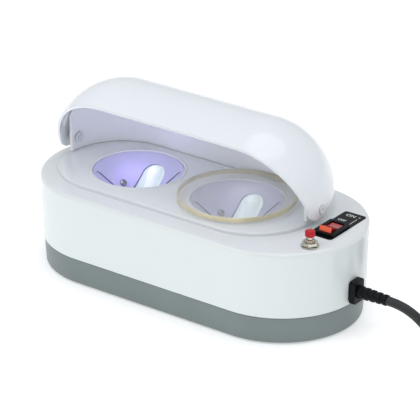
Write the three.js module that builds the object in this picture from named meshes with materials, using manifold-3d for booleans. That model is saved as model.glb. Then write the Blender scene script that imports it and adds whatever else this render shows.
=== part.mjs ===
// UV sterilizer cabinet: an oblong housing with two lamp wells under a swing-up hood.
// Millimetres, +Z up, +X to the right along the length, -Y towards the user.
// Heights are counted from the underside of the base tray; the feet lift the whole object.
import * as THREE from 'three';
import { mergeVertices, toCreasedNormals } from 'three/addons/utils/BufferGeometryUtils.js';
import Module from 'manifold-3d';

const wasm = await Module();
wasm.setup();

// ---------------------------------------------------------------- driving dimensions

const GAP = 0.3; // between pieces that touch
const FOOT_DROP = 1.2; // how far the feet stand out of the tray

const BODY = { half: 64, foot: 56, seam: 57, shoulder: 58, wall: 2.4 }; // radii of the oblong outline
const SEAM_Z = 18.2; // where the white housing meets the grey tray
const LEDGE_Z = 64.3; // top of the housing round the raised deck
const EDGE_ROUND = 3;

const DECK = { x: -12, half: 55.5, radius: 43, z: 66.8, round: 1.2, plate: 2.5 };
const WELL_X = [-53, 29];
const WELL = { mouth: 30.4, hole: 31.1, depth: 26, floor: 4.9, skin: 1.4, flange: 34 };
const LIP = { inner: 31.1, outer: 33.2, rise: 0.8 };

const HOOD = { x: -11.5, half: 54.5, radius: 50.5, skin: 2 };
const PIVOT = { y: 3.4, z: 76, radius: 2 };
const EAR = { below: 11, round: 9 }; // the hood's ear below its pivot, and its rounded corner
const HOOD_BACK = 6; // how far the hood's rear edge lies behind the pivot when shut
const OPEN_ANGLE = 67;

const SHELL = { outer: 42.8, inner: 40.4, domeOuter: 47.5, domeInner: 45.1, front: -3 };

const LAMP = { radius: 6, dome: [-2, 22, -11.8], tilt: 22, glass: 28, base: 9.5, socket: 10 };
const CUP_SCREW = { angle: 170, depth: 15 };
const WINDOW = { x: -1.7, width: 16.5, top: 5.6, bottom: 22.5 };
const SLOT = { angle: 35, width: 8, from: 2, to: 15, deep: 0.7 };

const COVER = { x: 29, radius: 39.8, thick: 3.8, bevel: 0.6 };

const SWITCH = { x: 102.2, y: 1.9, bezel: [15, 21], body: [12.6, 18.6], rocker: [9, 15.4], rock: 15 };
const LABEL = { x: [93.8, 110.2], y: [-11.2, 31.6], thick: 0.5, pocket: 0.5 };
const BUTTON = { x: 104.1, y: -26, hole: 3.5, thread: 3.15, plunger: 2.3 };

const INLET_Z = 27.8;
const CORD = { radius: 3.1, sides: 8 };
const COIL = { x: 212, y: 54, inner: 23.5, outer: 48.8, height: 12.3 };

const RAD = Math.PI / 180;

// ---------------------------------------------------------------- solids

/** A closed geometry as a solid with its faces pointing out. */
function solid(geometry) {
  const bare = geometry.clone();
  bare.deleteAttribute('normal');
  bare.deleteAttribute('uv');
  const merged = mergeVertices(bare, 1e-4);
  const point = merged.attributes.position;
  const index = merged.index.array;
  const triangles = [];
  let volume = 0;
  const [a, b, c] = [new THREE.Vector3(), new THREE.Vector3(), new THREE.Vector3()];
  for (let i = 0; i < index.length; i += 3) {
    const [p, q, r] = [index[i], index[i + 1], index[i + 2]];
    if (p === q || q === r || r === p) continue;
    triangles.push([p, q, r]);
    a.fromBufferAttribute(point, p);
    b.fromBufferAttribute(point, q);
    c.fromBufferAttribute(point, r);
    volume += a.dot(b.cross(c));
  }
  if (volume < 0) triangles.forEach((t) => t.reverse());
  return new wasm.Manifold(
    new wasm.Mesh({
      numProp: 3,
      vertProperties: new Float32Array(point.array),
      triVerts: new Uint32Array(triangles.flat()),
    }),
  );
}

/**
 * Body swept round a stadium outline.
 * The profile of [radius, z] starts and ends on radius 0, or closes on itself.
 */
function stadium(centreX, half, profile, steps = 12) {
  const loop = profile[0][0] > 0 ? [...profile, profile[0]] : profile;
  const positions = [];
  for (const side of [1, -1]) {
    for (let i = 0; i <= steps; i++) {
      const angle = (i / steps - 0.5) * Math.PI + (side > 0 ? 0 : Math.PI);
      for (const [radius, z] of loop) {
        positions.push(centreX + side * half + radius * Math.cos(angle), radius * Math.sin(angle), z);
      }
    }
  }
  const rings = 2 * (steps + 1);
  const row = loop.length;
  const index = [];
  for (let i = 0; i < rings; i++) {
    for (let k = 0; k < row - 1; k++) {
      const near = i * row + k;
      const far = ((i + 1) % rings) * row + k;
      index.push(near, far, far + 1, near, far + 1, near + 1);
    }
  }
  const geometry = new THREE.BufferGeometry();
  geometry.setAttribute('position', new THREE.Float32BufferAttribute(positions, 3));
  geometry.setIndex(index);
  return solid(geometry);
}

/** Body turned about the Z axis from [radius, z] points. */
function turned(profile, segments = 24) {
  const loop = profile[0][0] > 0 ? [...profile, profile[0]] : profile;
  const points = loop.map(([radius, z]) => new THREE.Vector2(radius, z));
  return solid(new THREE.LatheGeometry(points, segments).rotateX(Math.PI / 2));
}

const cylinder = (radius, z0, z1, segments = 16) =>
  solid(new THREE.CylinderGeometry(radius, radius, z1 - z0, segments).rotateX(Math.PI / 2))
    .translate([0, 0, (z0 + z1) / 2]);

/** Box between two corners. */
function box([x0, y0, z0], [x1, y1, z1]) {
  const geometry = new THREE.BoxGeometry(x1 - x0, y1 - y0, z1 - z0);
  return solid(geometry.translate((x0 + x1) / 2, (y0 + y1) / 2, (z0 + z1) / 2));
}

/** Rounded rectangle centred on the origin, from z0 to z1, with an optional bevel. */
function slab(width, length, z0, z1, round = 1, bevel = 0) {
  const [w, h] = [width / 2 - bevel, length / 2 - bevel];
  const r = Math.max(round - bevel, 0.2);
  const shape = new THREE.Shape();
  shape.moveTo(w, -h + r);
  shape.lineTo(w, h - r);
  shape.absarc(w - r, h - r, r, 0, Math.PI / 2);
  shape.absarc(-w + r, h - r, r, Math.PI / 2, Math.PI);
  shape.absarc(-w + r, -h + r, r, Math.PI, 1.5 * Math.PI);
  shape.absarc(w - r, -h + r, r, 1.5 * Math.PI, 2 * Math.PI);
  return extruded(shape, z0, z1, { bevel, curveSegments: 3 });
}

/** Extrusion of a shape from z0 to z1. */
function extruded(shape, z0, z1, { bevel = 0, curveSegments = 12 } = {}) {
  const geometry = new THREE.ExtrudeGeometry(shape, {
    depth: z1 - z0 - 2 * bevel,
    bevelEnabled: bevel > 0,
    bevelThickness: bevel,
    bevelSize: bevel,
    bevelSegments: 1,
    curveSegments,
  });
  return solid(geometry.translate(0, 0, z0 + bevel));
}

/** The solid put into a frame given by its three axes and origin. */
function placed(body, x, y, z, origin) {
  const m = new THREE.Matrix4().makeBasis(x, y, z).setPosition(origin);
  return body.transform(m.elements);
}

/** A body built along +Z, laid along +X instead. */
const alongX = (body) => body.rotate([0, 90, 0]);

/** Round bar along a list of points. */
function rod(points, radius, sides = 8, steps = 12, tension = 0.5) {
  const knots = points.map((p) => new THREE.Vector3(...p));
  const curve = new THREE.CatmullRomCurve3(knots, false, 'catmullrom', tension);
  const section = new THREE.Shape();
  for (let i = 0; i < sides; i++) {
    const angle = (i / sides) * 2 * Math.PI;
    const [x, y] = [radius * Math.cos(angle), radius * Math.sin(angle)];
    if (i) section.lineTo(x, y);
    else section.moveTo(x, y);
  }
  return solid(new THREE.ExtrudeGeometry(section, { steps, extrudePath: curve, bevelEnabled: false }));
}

const union = (bodies) => bodies.reduce((whole, body) => whole.add(body));

// ---------------------------------------------------------------- materials

const paint = (color, roughness, metalness = 0, extra = {}) =>
  new THREE.MeshStandardMaterial({ color, roughness, metalness, ...extra });

const white = paint(0xe6ebee, 0.25);
const grey = paint(0x7d8886, 0.45);
const reflector = paint(0xb3adda, 0.35);
const lampGlass = paint(0xe4ede6, 0.2);
const ceramic = paint(0xd9d6cc, 0.6);
const clear = paint(0xdcd6b0, 0.05, 0, { transparent: true, opacity: 0.35 });
const black = paint(0x15191a, 0.5);
const red = paint(0xcd1e1e, 0.3);
const amber = paint(0xd7553c, 0.25);
const nickel = paint(0xbeb9a5, 0.3, 1);
const steel = paint(0x9a9da0, 0.35, 1);
const brass = paint(0xc8a85a, 0.35, 1);
const rubber = paint(0x232625, 0.85);
const board = paint(0x2f6b46, 0.6);
const ferrite = paint(0x3a3c40, 0.7);
const nylon = paint(0xeef0f0, 0.5);
const wire = paint(0x8a2f2a, 0.5);

const cabinet = new THREE.Group();
cabinet.position.z = FOOT_DROP;

/** Adds a solid as a named mesh. */
function piece(name, body, material, parent = cabinet) {
  const { vertProperties, triVerts } = body.getMesh();
  const geometry = new THREE.BufferGeometry();
  geometry.setAttribute('position', new THREE.BufferAttribute(vertProperties, 3));
  geometry.setIndex(new THREE.BufferAttribute(triVerts, 1));
  const mesh = new THREE.Mesh(toCreasedNormals(geometry, 0.6), material);
  mesh.name = name;
  parent.add(mesh);
  return mesh;
}

// ---------------------------------------------------------------- housing and tray

const SCREW_POSTS = [[-90, -36], [-90, 36], [80, -40], [80, 40]];
const FEET = [[-68, -42], [-68, 42], [64, -42], [64, 42]];
const SHELL_TABS = [-56, -12, 32];
const TAB = { wide: 8, thick: 1.6, y: 41.5, bottom: 61 };
const TAB_HOLE = 0.35;
const INLET = { body: [9.6, 10.6], hole: [10.4, 11.4] }; // along Y and Z
const BOARD = { x: -12, y: 30, length: 48, width: 32, bottom: 7.8, thick: 1.6 };
const BOARD_CORNERS = [[-21, -13], [-21, 13], [21, -13], [21, 13]].map(
  ([x, y]) => [BOARD.x + x, BOARD.y + y],
);

/** Puts a body made along the lamp's axis, with the dome's centre at the origin, into its well. */
const leaned = (body) => body.rotate([-LAMP.tilt, 0, 0]).translate(LAMP.dome);

/** Sloping plate that the lamp's socket stands on, in the well's frame. */
function socketShelf() {
  const top = -LAMP.glass - LAMP.base - LAMP.socket - 3 * GAP;
  return leaned(slab(14, 16, top - 1.5, top, 1));
}

/** Rounded quarter corner of a profile, from the outer side up to the top. */
function corner(radius, z, round, steps = 3) {
  return Array.from({ length: steps + 1 }, (_, i) => {
    const angle = (i / steps) * (Math.PI / 2);
    return [radius - round + round * Math.cos(angle), z - round + round * Math.sin(angle)];
  });
}

function upperHousing() {
  const { half, seam, shoulder, wall } = BODY;
  const outside = stadium(0, half, [
    [0, SEAM_Z + GAP],
    [seam, SEAM_Z + GAP],
    ...corner(shoulder, LEDGE_Z, EDGE_ROUND),
    [0, LEDGE_Z],
  ]);
  const inside = stadium(0, half, [
    [0, SEAM_Z - 5],
    [seam - wall, SEAM_Z - 5],
    [shoulder - wall, LEDGE_Z - DECK.plate],
    [0, LEDGE_Z - DECK.plate],
  ]);
  const deck = stadium(DECK.x, DECK.half, [
    [0, LEDGE_Z - 1],
    [DECK.radius, LEDGE_Z - 1],
    ...corner(DECK.radius, DECK.z, DECK.round, 2),
    [0, DECK.z],
  ]);
  const underDeck = stadium(DECK.x, DECK.half, [
    [0, LEDGE_Z - 6],
    [DECK.radius - DECK.plate, LEDGE_Z - 6],
    [DECK.radius - DECK.plate, DECK.z - DECK.plate],
    [0, DECK.z - DECK.plate],
  ]);
  let housing = outside.add(deck).subtract(inside).subtract(underDeck);
  for (const x of WELL_X) {
    const lip = turned([
      [LIP.inner - 1, DECK.z - 1],
      [LIP.outer, DECK.z - 1],
      [LIP.outer, DECK.z],
      [LIP.outer - 0.7, DECK.z + LIP.rise],
      [LIP.inner - 1, DECK.z + LIP.rise],
    ], 36);
    housing = housing.add(lip.translate([x, 0, 0]));
    housing = housing.subtract(cylinder(WELL.hole, DECK.z - 8, DECK.z + 5, 36).translate([x, 0, 0]));
  }
  for (const [x, y] of SCREW_POSTS) {
    const post = cylinder(4, 3.2, LEDGE_Z - 1, 12);
    const pilot = cylinder(1.3, 0, 18, 8);
    housing = housing.add(post.translate([x, y, 0])).subtract(pilot.translate([x, y, 0]));
  }
  const labelX = (LABEL.x[0] + LABEL.x[1]) / 2;
  const labelY = (LABEL.y[0] + LABEL.y[1]) / 2;
  const pocket = slab(
    LABEL.x[1] - LABEL.x[0] + 2 * GAP,
    LABEL.y[1] - LABEL.y[0] + 2 * GAP,
    LEDGE_Z - LABEL.pocket,
    LEDGE_Z + 5,
    2.3,
  );
  const switchHole = box([-6.6, -9.6, LEDGE_Z - 8], [6.6, 9.6, LEDGE_Z + 5]);
  const buttonHole = cylinder(BUTTON.hole, LEDGE_Z - 8, LEDGE_Z + 5);
  const [inletW, inletH] = INLET.hole;
  const inletHole = box([110, -inletW / 2, INLET_Z - inletH / 2], [130, inletW / 2, INLET_Z + inletH / 2]);
  housing = housing
    .subtract(pocket.translate([labelX, labelY, 0]))
    .subtract(switchHole.translate([SWITCH.x, SWITCH.y, 0]))
    .subtract(buttonHole.translate([BUTTON.x, BUTTON.y, 0]))
    .subtract(inletHole);
  for (const x of SHELL_TABS) {
    const reach = TAB.wide / 2 + TAB_HOLE;
    housing = housing.subtract(
      box([x - reach, TAB.y - TAB.thick / 2 - TAB_HOLE, 50], [x + reach, TAB.y + TAB.thick / 2 + TAB_HOLE, 70]),
    );
  }
  return housing;
}

function baseTray() {
  const inset = 0.7;
  const lip = BODY.seam - BODY.wall - GAP;
  const outside = stadium(0, BODY.half, [
    [0, 0],
    [BODY.foot - inset - 0.8, 0],
    [BODY.foot - inset, 0.8],
    [BODY.seam - inset, SEAM_Z],
    [lip, SEAM_Z],
    [lip, SEAM_Z + 4],
    [0, SEAM_Z + 4],
  ]);
  const inside = stadium(0, BODY.half, [
    [0, 2.5],
    [BODY.foot - inset - 3, 2.5],
    [lip - 1.8, SEAM_Z],
    [lip - 1.8, SEAM_Z + 8],
    [0, SEAM_Z + 8],
  ]);
  let tray = outside.subtract(inside);
  for (const [x, y] of SCREW_POSTS) {
    const hole = cylinder(1.8, -1, 4, 12).add(cylinder(3.4, -1, 1.3, 12));
    tray = tray.subtract(hole.translate([x, y, 0]));
  }
  for (const [x, y] of FEET) tray = tray.subtract(cylinder(6.4, -1, 0.8).translate([x, y, 0]));
  for (let i = -2; i <= 2; i++) {
    tray = tray.subtract(box([-13.5 + i * 7, -27, -1], [-10.5 + i * 7, -5, 4]));
  }
  for (const [x, y] of BOARD_CORNERS) {
    const post = cylinder(3, 2, BOARD.bottom - GAP, 8).subtract(cylinder(1.5, 3, 20, 8));
    tray = tray.add(post.translate([x, y, 0]));
  }
  for (const x of WELL_X) {
    const shelf = box([x - 5, -1, 2], [x + 1, 7, 9.2]);
    tray = tray.add(shelf).add(socketShelf().translate([x, 0, DECK.z]));
  }
  return tray;
}

piece('upper_housing', upperHousing(), white);
piece('base_tray', baseTray(), grey);

FEET.forEach(([x, y], i) => {
  const foot = turned([[0, -FOOT_DROP], [5.4, -FOOT_DROP], [6.1, -0.5], [6.1, 0.5], [0, 0.5]], 16);
  piece(`foot_${i + 1}`, foot.translate([x, y, 0]), rubber);
});

const trayScrew = turned([
  [0, 0.2],
  [2.9, 0.2],
  [3, 1],
  [1.2, 1],
  [1.2, 12],
  [0, 12.6],
], 12).subtract(box([-2, -0.3, -1], [2, 0.3, 0.7]));
SCREW_POSTS.forEach(([x, y], i) => piece(`tray_screw_${i + 1}`, trayScrew.translate([x, y, 0]), steel));

// ---------------------------------------------------------------- rear shell and hood

/** Solid capsule about an X axis through the hood pivot. */
function capsule(radius, segments = 40, arc = 6) {
  const points = [];
  for (let i = 0; i <= arc; i++) {
    const angle = (i / arc) * (Math.PI / 2);
    points.push(new THREE.Vector2(radius * Math.sin(angle), -HOOD.half - radius * Math.cos(angle)));
  }
  for (let i = arc; i >= 0; i--) {
    const angle = (i / arc) * (Math.PI / 2);
    points.push(new THREE.Vector2(radius * Math.sin(angle), HOOD.half + radius * Math.cos(angle)));
  }
  points[0].x = 0;
  points[points.length - 1].x = 0;
  const geometry = new THREE.LatheGeometry(points, segments);
  return solid(geometry.rotateZ(-Math.PI / 2)).translate([HOOD.x, 0, 0]);
}

/** Round pivot hole or pin along X, from x0 to x1. */
const pivotBar = (radius, x0, x1, segments = 14) => alongX(cylinder(radius, x0, x1, segments));

function rearShell() {
  const wall = (radius, foot) =>
    stadium(DECK.x, DECK.half, [[0, foot], [radius, foot], [radius, 150], [0, 150]]);
  const foot = DECK.z + GAP;
  const atPivot = [0, PIVOT.y, PIVOT.z];
  const outside = wall(SHELL.outer, foot).intersect(capsule(SHELL.domeOuter).translate(atPivot));
  const inside = wall(SHELL.inner, foot - 9).intersect(capsule(SHELL.domeInner).translate(atPivot));
  let shell = outside.subtract(inside).intersect(box([-150, SHELL.front, 0], [150, 80, 150]));
  for (const x of [-60, 37]) {
    shell = shell.add(box([x - 4, SHELL.outer - 1.3, 83], [x + 4, 51.6, 88.4]));
  }
  for (const x of SHELL_TABS) {
    shell = shell.add(
      box([x - TAB.wide / 2, TAB.y - TAB.thick / 2, TAB.bottom], [x + TAB.wide / 2, TAB.y + TAB.thick / 2, 70]),
    );
  }
  return shell.subtract(pivotBar(PIVOT.radius + 0.15, -130, 110).translate(atPivot));
}

/** Hood in its shut position about the pivot, which is the origin here. */
function hoodShell() {
  const outline = new THREE.Shape();
  const reach = HOOD.radius + 10;
  outline.moveTo(-reach, -EAR.below);
  outline.lineTo(HOOD_BACK - EAR.round, -EAR.below);
  outline.absarc(HOOD_BACK - EAR.round, EAR.round - EAR.below, EAR.round, -Math.PI / 2, 0);
  outline.lineTo(HOOD_BACK, reach);
  outline.lineTo(-reach, reach);
  const side = placed(
    extruded(outline, -150, 150, { curveSegments: 8 }),
    new THREE.Vector3(0, 1, 0),
    new THREE.Vector3(0, 0, 1),
    new THREE.Vector3(1, 0, 0),
    new THREE.Vector3(),
  );
  return capsule(HOOD.radius)
    .subtract(capsule(HOOD.radius - HOOD.skin))
    .intersect(side)
    .subtract(pivotBar(PIVOT.radius + 0.06, -130, 110));
}

piece('rear_shell', rearShell(), white);

const hoodGroup = new THREE.Group();
hoodGroup.position.set(0, PIVOT.y, PIVOT.z);
hoodGroup.rotation.x = -OPEN_ANGLE * RAD;
cabinet.add(hoodGroup);
piece('visor', hoodShell(), white, hoodGroup);

/** The two pivots: outward direction, the rear shell's wall face and the hood's inner and outer skin. */
const EARS = [
  { side: 'right', out: 1, shell: DECK.x + DECK.half + SHELL.outer, hood: HOOD.x + HOOD.half + HOOD.radius },
  { side: 'left', out: -1, shell: DECK.x - DECK.half - SHELL.outer, hood: HOOD.x - HOOD.half - HOOD.radius },
];
for (const { side, out, shell, hood } of EARS) {
  const skin = SHELL.outer - SHELL.inner;
  const bar = (radius, from, to) => pivotBar(radius, Math.min(from, to), Math.max(from, to));
  const inner = shell - out * (skin + 3.4);
  const pin = union([
    bar(PIVOT.radius, inner, hood + out * 0.7),
    bar(3.2, hood + out * 0.25, hood + out * 1),
  ]).subtract(bar(1.1, hood + out * 0.6, hood + out * 2));
  piece(`pivot_pin_${side}`, pin.translate([0, PIVOT.y, PIVOT.z]), nylon);
  const bushFrom = shell + out * 0.35;
  const bushTo = hood - out * (HOOD.skin + 0.9);
  const bush = bar(3.6, bushFrom, bushTo).subtract(bar(PIVOT.radius + 0.15, shell - out * 2, hood + out * 3));
  piece(`pivot_bush_${side}`, bush.translate([0, PIVOT.y, PIVOT.z]), nylon);
  const clipFrom = shell - out * (skin + 1.1);
  const clip = bar(3.8, clipFrom, clipFrom - out * 0.8)
    .subtract(bar(PIVOT.radius + 0.1, clipFrom + out * 2, clipFrom - out * 3))
    .subtract(box([-130, -1.2, -5], [110, 1.2, 0]));
  piece(`retaining_clip_${side}`, clip.translate([0, PIVOT.y, PIVOT.z]), steel);
}

// ---------------------------------------------------------------- lamp wells

const SLOPE = new THREE.Vector3(0, Math.SQRT1_2, Math.SQRT1_2); // up the back of the cone
const SLOPE_OUT = new THREE.Vector3(0, Math.SQRT1_2, -Math.SQRT1_2); // out of the well, through its wall
const ACROSS = new THREE.Vector3(-1, 0, 0);

/** Place on the cone's back at a depth below the mouth, before it is turned to its angle. */
const onCone = (depth) => new THREE.Vector3(0, WELL.mouth - depth, -depth);

/** A cutter with the given outline on the cone's wall: x across, y up the slope. */
function coneCutter(shape, from, to, depth, x = 0) {
  const cutter = extruded(shape, from, to, { curveSegments: 6 });
  return placed(cutter, ACROSS, SLOPE, SLOPE_OUT, onCone(depth)).translate([x, 0, 0]);
}

function roundedBar(width, low, high, roundLow = true) {
  const r = width / 2;
  const shape = new THREE.Shape();
  shape.moveTo(r, roundLow ? low + r : low);
  shape.lineTo(r, high - r);
  shape.absarc(0, high - r, r, 0, Math.PI);
  shape.lineTo(-r, roundLow ? low + r : low);
  if (roundLow) shape.absarc(0, low + r, r, Math.PI, 2 * Math.PI);
  return shape;
}

/** Cutter or screw on the cone's wall, turned from the back to an angle counted from +X. */
const roundTo = (body, angle) => body.rotate([0, 0, angle - 90]);

/** Reflector cup of one well, with the middle of its mouth as the origin. */
function reflectorCup() {
  const { mouth, floor, depth, skin, flange } = WELL;
  const seat = -DECK.plate - GAP;
  const bevel = 0.5;
  let cup = turned([
    [0, -depth],
    [floor, -depth],
    [mouth - bevel, -2 * bevel],
    [mouth, -0.2],
    [mouth + bevel, -0.2],
    [mouth + bevel, seat],
    [flange, seat],
    [flange, seat - skin],
    [mouth + skin * Math.SQRT2 + seat - skin, seat - skin],
    [floor + 0.6, -depth - skin],
    [0, -depth - skin],
  ], 32);
  const slope = (d) => -d * Math.SQRT2;
  const arch = roundedBar(WINDOW.width, slope(WINDOW.bottom), slope(WINDOW.top), false);
  cup = cup.subtract(coneCutter(arch, -5, 6, 0, WINDOW.x));
  const groove = roundedBar(SLOT.width, slope(SLOT.to), slope(SLOT.from));
  for (const angle of [SLOT.angle, SLOT.angle + 180]) {
    cup = cup.subtract(roundTo(coneCutter(groove, -4, SLOT.deep, 0), angle));
  }
  const hole = placed(cylinder(1.3, -3, 4, 10), ACROSS, SLOPE, SLOPE_OUT, onCone(CUP_SCREW.depth));
  return cup.subtract(roundTo(hole, CUP_SCREW.angle));
}

/** Pan-head screw through the cone's wall. */
function cupScrew() {
  const screw = turned([[0, -2.1], [1.6, -1.9], [2.4, -1.1], [2.5, -GAP], [1, -GAP], [1, 5], [0, 5.5]], 12)
    .subtract(box([-1.6, -0.3, -3], [1.6, 0.3, -1.4]))
    .subtract(box([-0.3, -1.6, -3], [0.3, 1.6, -1.4]));
  return roundTo(placed(screw, ACROSS, SLOPE, SLOPE_OUT, onCone(CUP_SCREW.depth)), CUP_SCREW.angle);
}

function lampTube() {
  const { radius, glass } = LAMP;
  const dome = Array.from({ length: 6 }, (_, i) => {
    const angle = (i / 5) * (Math.PI / 2);
    return [radius * Math.sin(angle), radius * Math.cos(angle)];
  });
  return leaned(turned([...dome, [radius, -glass], [0, -glass]], 16));
}

const PINS = [-3, 3]; // contact pins of the lamp, either side of its axis

function lampBase() {
  const top = -LAMP.glass - GAP;
  const cap = turned([[0, top], [6.6, top], [7, top - 0.8], [7, top - LAMP.base], [0, top - LAMP.base]], 16);
  const pins = PINS.map((x) => cylinder(0.8, top - LAMP.base - 5, top - LAMP.base + 1, 8).translate([x, 0, 0]));
  return leaned(union([cap, ...pins]));
}

function lampSocket() {
  const top = -LAMP.glass - LAMP.base - 2 * GAP;
  let socket = slab(16, 12, top - LAMP.socket, top, 1.5);
  for (const x of PINS) socket = socket.subtract(cylinder(1.1, top - 6, top + 1, 8).translate([x, 0, 0]));
  return leaned(socket);
}

['left', 'right'].forEach((side, i) => {
  const well = new THREE.Group();
  well.position.set(WELL_X[i], 0, DECK.z);
  cabinet.add(well);
  piece(`reflector_cup_${side}`, reflectorCup(), reflector, well);
  piece(`cup_screw_${side}`, cupScrew(), steel, well);
  piece(`lamp_tube_${side}`, lampTube(), lampGlass, well);
  piece(`lamp_base_${side}`, lampBase(), ceramic, well);
  piece(`lamp_socket_${side}`, lampSocket(), black, well);
});

const coverBottom = DECK.z + LIP.rise + GAP;
const coverTop = coverBottom + COVER.thick;
const cover = turned([
  [0, coverBottom],
  [COVER.radius - COVER.bevel, coverBottom],
  [COVER.radius, coverBottom + COVER.bevel],
  [COVER.radius, coverTop - COVER.bevel],
  [COVER.radius - COVER.bevel, coverTop],
  [0, coverTop],
], 40);
piece('cover_disc', cover.translate([COVER.x, 0, 0]), clear);

// ---------------------------------------------------------------- switch and push button

const labelTop = LEDGE_Z - LABEL.pocket + GAP + LABEL.thick;
const bezelTop = labelTop + GAP + 1.7;
const rockerAxis = labelTop + 0.6;

function switchLabel() {
  const middle = [(LABEL.x[0] + LABEL.x[1]) / 2, (LABEL.y[0] + LABEL.y[1]) / 2, 0];
  const plate = slab(LABEL.x[1] - LABEL.x[0], LABEL.y[1] - LABEL.y[0], labelTop - LABEL.thick, labelTop, 2);
  const opening = box([-6.6, -9.6, LEDGE_Z - 8], [6.6, 9.6, LEDGE_Z + 5]);
  return plate.translate(middle).subtract(opening.translate([SWITCH.x, SWITCH.y, 0]));
}

function switchBody() {
  const [bezelW, bezelL] = SWITCH.bezel;
  const [bodyW, bodyL] = SWITCH.body;
  const [rockerW, rockerL] = SWITCH.rocker;
  const bezel = slab(bezelW, bezelL, labelTop + GAP, bezelTop, 1.2, 0.4);
  const shaft = box([-bodyW / 2, -bodyL / 2, 48], [bodyW / 2, bodyL / 2, labelTop + 1]);
  const mouth = slab(rockerW + 0.6, rockerL + 1.3, 57, 80, 0.6);
  const axle = alongX(cylinder(0.9, -7, 7, 12)).translate([0, 0, rockerAxis]);
  return bezel.add(shaft).subtract(mouth).subtract(axle).translate([SWITCH.x, SWITCH.y, 0]);
}

/** Rocker in its middle position about its axle, which is the origin. */
function rockerKey() {
  const [width, length] = SWITCH.rocker;
  const end = length / 2;
  const side = new THREE.Shape();
  side.moveTo(-end, -3);
  side.lineTo(-3, -4.6);
  side.lineTo(3, -4.6);
  side.lineTo(end, -3);
  side.lineTo(end, 2.1);
  side.lineTo(end - 0.5, 2.5);
  side.quadraticCurveTo(0, 0.2, -end + 0.5, 2.5);
  side.lineTo(-end, 2.1);
  const key = placed(
    extruded(side, -width / 2, width / 2, { curveSegments: 8 }),
    new THREE.Vector3(0, 1, 0),
    new THREE.Vector3(0, 0, 1),
    new THREE.Vector3(1, 0, 0),
    new THREE.Vector3(),
  );
  return key.add(alongX(cylinder(0.82, -5.8, 5.8, 12)));
}

piece('switch_label', switchLabel(), black);
piece('switch_body', switchBody(), black);
const rockerGroup = new THREE.Group();
rockerGroup.position.set(SWITCH.x, SWITCH.y, rockerAxis);
rockerGroup.rotation.x = -SWITCH.rock * RAD;
cabinet.add(rockerGroup);
piece('rocker', rockerKey(), amber, rockerGroup);
[-1, 8].forEach((y, i) => {
  const blade = box([SWITCH.x - 2.4, y - 0.4, 40], [SWITCH.x + 2.4, y + 0.4, 47.7]);
  piece(`switch_terminal_${i + 1}`, blade, brass);
});

const button = new THREE.Group();
button.position.set(BUTTON.x, BUTTON.y, LEDGE_Z);
cabinet.add(button);

const hexagon = new THREE.Shape(
  Array.from({ length: 6 }, (_, i) => {
    const angle = (i / 6) * 2 * Math.PI;
    return new THREE.Vector2(5.5 * Math.cos(angle), 5.5 * Math.sin(angle));
  }),
);
const nutBore = cylinder(BUTTON.thread + GAP, -5, 10);
const NUT = { bottom: 1.1, top: 3.2 };
const BARREL = { bottom: -14.5, floor: -13.3 };

piece('button_washer', cylinder(5.9, GAP, 0.8).subtract(nutBore), nickel, button);
piece('button_nut', extruded(hexagon, NUT.bottom, NUT.top).subtract(nutBore), nickel, button);
const bushing = union([
  cylinder(BUTTON.thread, -4.2, 5.2).subtract(cylinder(BUTTON.plunger + 0.08, -20, 10)),
  cylinder(5.4, BARREL.bottom, -2.8).subtract(cylinder(2.7, BARREL.floor, 0)),
]);
piece('button_bushing', bushing, nickel, button);
const plunger = cylinder(BUTTON.plunger, -8, 6.8).add(cylinder(1.3, 6, 9.1, 12));
piece('button_plunger', plunger, nickel, button);
const capProfile = [[0, 7.1], [3.1, 7.1], [3.35, 7.4], [3.35, 10.1], [3.05, 10.7], [2.2, 10.95], [0, 11]];
piece('button_cap', turned(capProfile, 20).subtract(cylinder(1.6, 0, 9.4, 12)), red, button);

function spring(radius, wireRadius, turns, low, high) {
  const count = turns * 8;
  const points = Array.from({ length: count + 1 }, (_, i) => {
    const angle = (i / 8) * 2 * Math.PI;
    return [radius * Math.cos(angle), radius * Math.sin(angle), low + ((high - low) * i) / count];
  });
  return rod(points, wireRadius, 5, count);
}
piece('button_spring', spring(1.7, 0.3, 4, BARREL.floor + 0.7, -8.7), steel, button);

// ---------------------------------------------------------------- power inlet and lamp driver

function powerInlet() {
  const [w, h] = INLET.body;
  const solids = union([
    box([104, -w / 2, -h / 2], [120.5, w / 2, h / 2]),
    box([115.8, -7.5, -h / 2], [117.4, 7.5, h / 2]),
    box([97, -2.9, -1.5], [105, -2.1, 1.5]),
    box([97, 2.1, -1.5], [105, 2.9, 1.5]),
  ]);
  return solids.subtract(box([111.9, -3.2, -4.2], [126, 3.2, 4.2])).translate([0, 0, INLET_Z]);
}
piece('power_inlet', powerInlet(), black);

const boardTop = BOARD.bottom + BOARD.thick;
const onBoard = boardTop + GAP;

let driverBoard = slab(BOARD.length, BOARD.width, BOARD.bottom, boardTop, 1.5);
driverBoard = driverBoard.translate([BOARD.x, BOARD.y, 0]);
for (const [x, y] of BOARD_CORNERS) {
  driverBoard = driverBoard.subtract(cylinder(1.5, 0, 20, 8).translate([x, y, 0]));
}
piece('driver_board', driverBoard, board);
const boardScrew = cylinder(2.6, onBoard, onBoard + 1.4, 10).add(cylinder(1.1, 4.5, onBoard + 1, 8));
[BOARD_CORNERS[1], BOARD_CORNERS[2]].forEach(([x, y], i) => {
  piece(`board_screw_${i + 1}`, boardScrew.translate([x, y, 0]), steel);
});

const choke = union([
  box([-34, 22, onBoard], [-14, 25.5, onBoard + 14]),
  box([-34, 33.5, onBoard], [-14, 37, onBoard + 14]),
  box([-28, 25, onBoard + 3], [-20, 34, onBoard + 11]),
]);
piece('choke', choke, ferrite);
piece('electrolytic_capacitor', cylinder(4.6, onBoard, onBoard + 15).translate([-6, 21.5, 0]), black);
piece('terminal_block', slab(12, 6.4, onBoard, onBoard + 8, 0.5).translate([3, 38.6, 0]), grey);

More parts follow.
